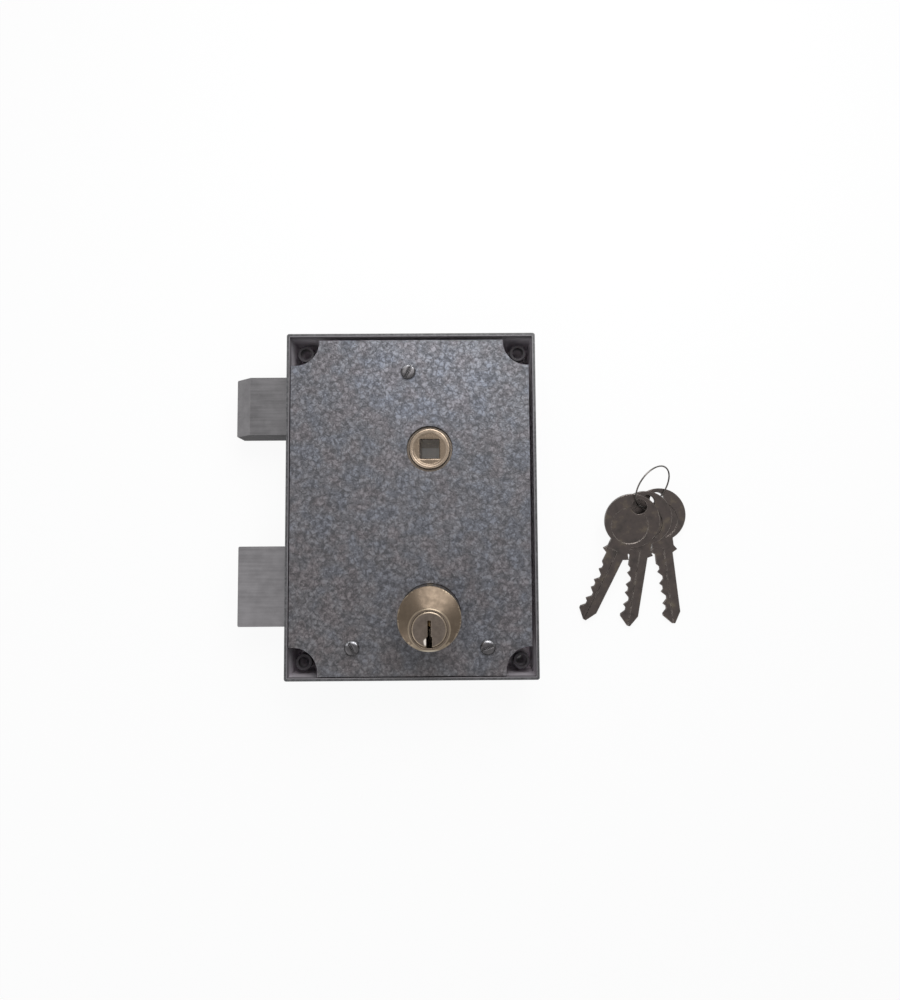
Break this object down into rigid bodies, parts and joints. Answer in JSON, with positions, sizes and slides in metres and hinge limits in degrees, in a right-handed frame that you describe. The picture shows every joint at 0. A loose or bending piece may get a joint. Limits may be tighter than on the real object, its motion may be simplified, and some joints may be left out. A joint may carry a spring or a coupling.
{
  "type": "door lock",
  "caption": "Surface-mounted door lock with a bevelled latch, a dead bolt, a square handle follower, a key cylinder and keys on a ring.",
  "frame": {"origin": "centre of the case's flat back face", "axes": "+Z out of the back through the cover and cylinder, +X away from the bolts, +Y towards the latch end"},
  "size_m": [0.2007, 0.145, 0.0475],
  "materials": {
    "hammered_enamel": "grey hammered enamel",
    "case_enamel": "smooth grey paint",
    "bolt_steel": "satin plated steel",
    "inner_steel": "bare sheet steel",
    "screw_steel": "dulled steel screws",
    "spring_steel": "spring wire",
    "follower_brass": "turned brass",
    "cylinder_brass": "satin brass",
    "pin_brass": "bright brass pins",
    "key_metal": "dark nickel key metal",
    "ring_wire": "dark wire ring"
  },
  "bodies": {
    "case": {"case_tray": "case_enamel", "cover": "hammered_enamel", "cover_posts": "inner_steel", "cover_screws": "screw_steel", "fixing_pillars": "inner_steel", "guide_studs": "inner_steel", "latch_spring": "spring_steel", "spring_rod": "inner_steel", "spring_bracket": "inner_steel", "cylinder_body": "cylinder_brass", "driver_pins": "pin_brass", "pin_springs": "spring_steel", "chamber_caps": "pin_brass", "cylinder_bridge": "inner_steel", "cylinder_screws": "screw_steel"},
    "latch": {"latch_head": "bolt_steel", "latch_tail": "inner_steel", "latch_rivets": "inner_steel"},
    "follower": {"follower_hub": "follower_brass", "follower_arm": "inner_steel"},
    "deadbolt": {"deadbolt_head": "bolt_steel", "deadbolt_tail": "inner_steel", "deadbolt_rivets": "inner_steel"},
    "plug": {"cylinder_plug": "cylinder_brass", "plug_clip": "spring_steel", "key_pins": "pin_brass", "drive_pinion": "inner_steel"},
    "key_bunch": {"key_ring": "ring_wire", "key_2": "key_metal"},
    "key_upper": {"key_1": "key_metal"},
    "key_lower": {"key_3": "key_metal"}
  },
  "joints": [
    {"name": "handle_turn", "type": "hinge", "parent": "case", "child": "follower", "pos_m": [0.0077, 0.0233, 0], "axis": [0, 0, -1], "range_deg": [0, 56]},
    {"name": "latch_slide", "type": "slide", "parent": "case", "child": "latch", "axis": [1, 0, 0], "range_m": [0, 0.02488], "stiffness_N_per_m": 150, "springref_m": -0.01, "deforming": ["latch_spring"]},
    {"name": "plug_turn", "type": "hinge", "parent": "case", "child": "plug", "pos_m": [0.0077, -0.0495, 0], "axis": [0, 0, -1], "range_deg": [0, 360]},
    {"name": "deadbolt_slide", "type": "slide", "parent": "case", "child": "deadbolt", "axis": [1, 0, 0], "range_m": [0, 0.02199]},
    {"name": "keys_lift", "type": "slide", "parent": "case", "child": "key_bunch", "axis": [0, 0, 1], "range_m": [0, 0.05]},
    {"name": "key_upper_swing", "type": "hinge", "parent": "key_bunch", "child": "key_upper", "pos_m": [0.09947, -0.00069, 0.01168], "axis": [0.0803, 0.1722, -0.9818], "range_deg": [0, 12]},
    {"name": "key_lower_swing", "type": "hinge", "parent": "key_bunch", "child": "key_lower", "pos_m": [0.1099, 0.00291, 0.00336], "axis": [0.0048, -0.0416, 0.9991], "range_deg": [0, 12]}
  ],
  "couplings": [
    {"joint": "handle_turn", "follows": "latch_slide", "rad_per_m": 39.282},
    {"joint": "plug_turn", "follows": "deadbolt_slide", "rad_per_m": 285.71}
  ]
}
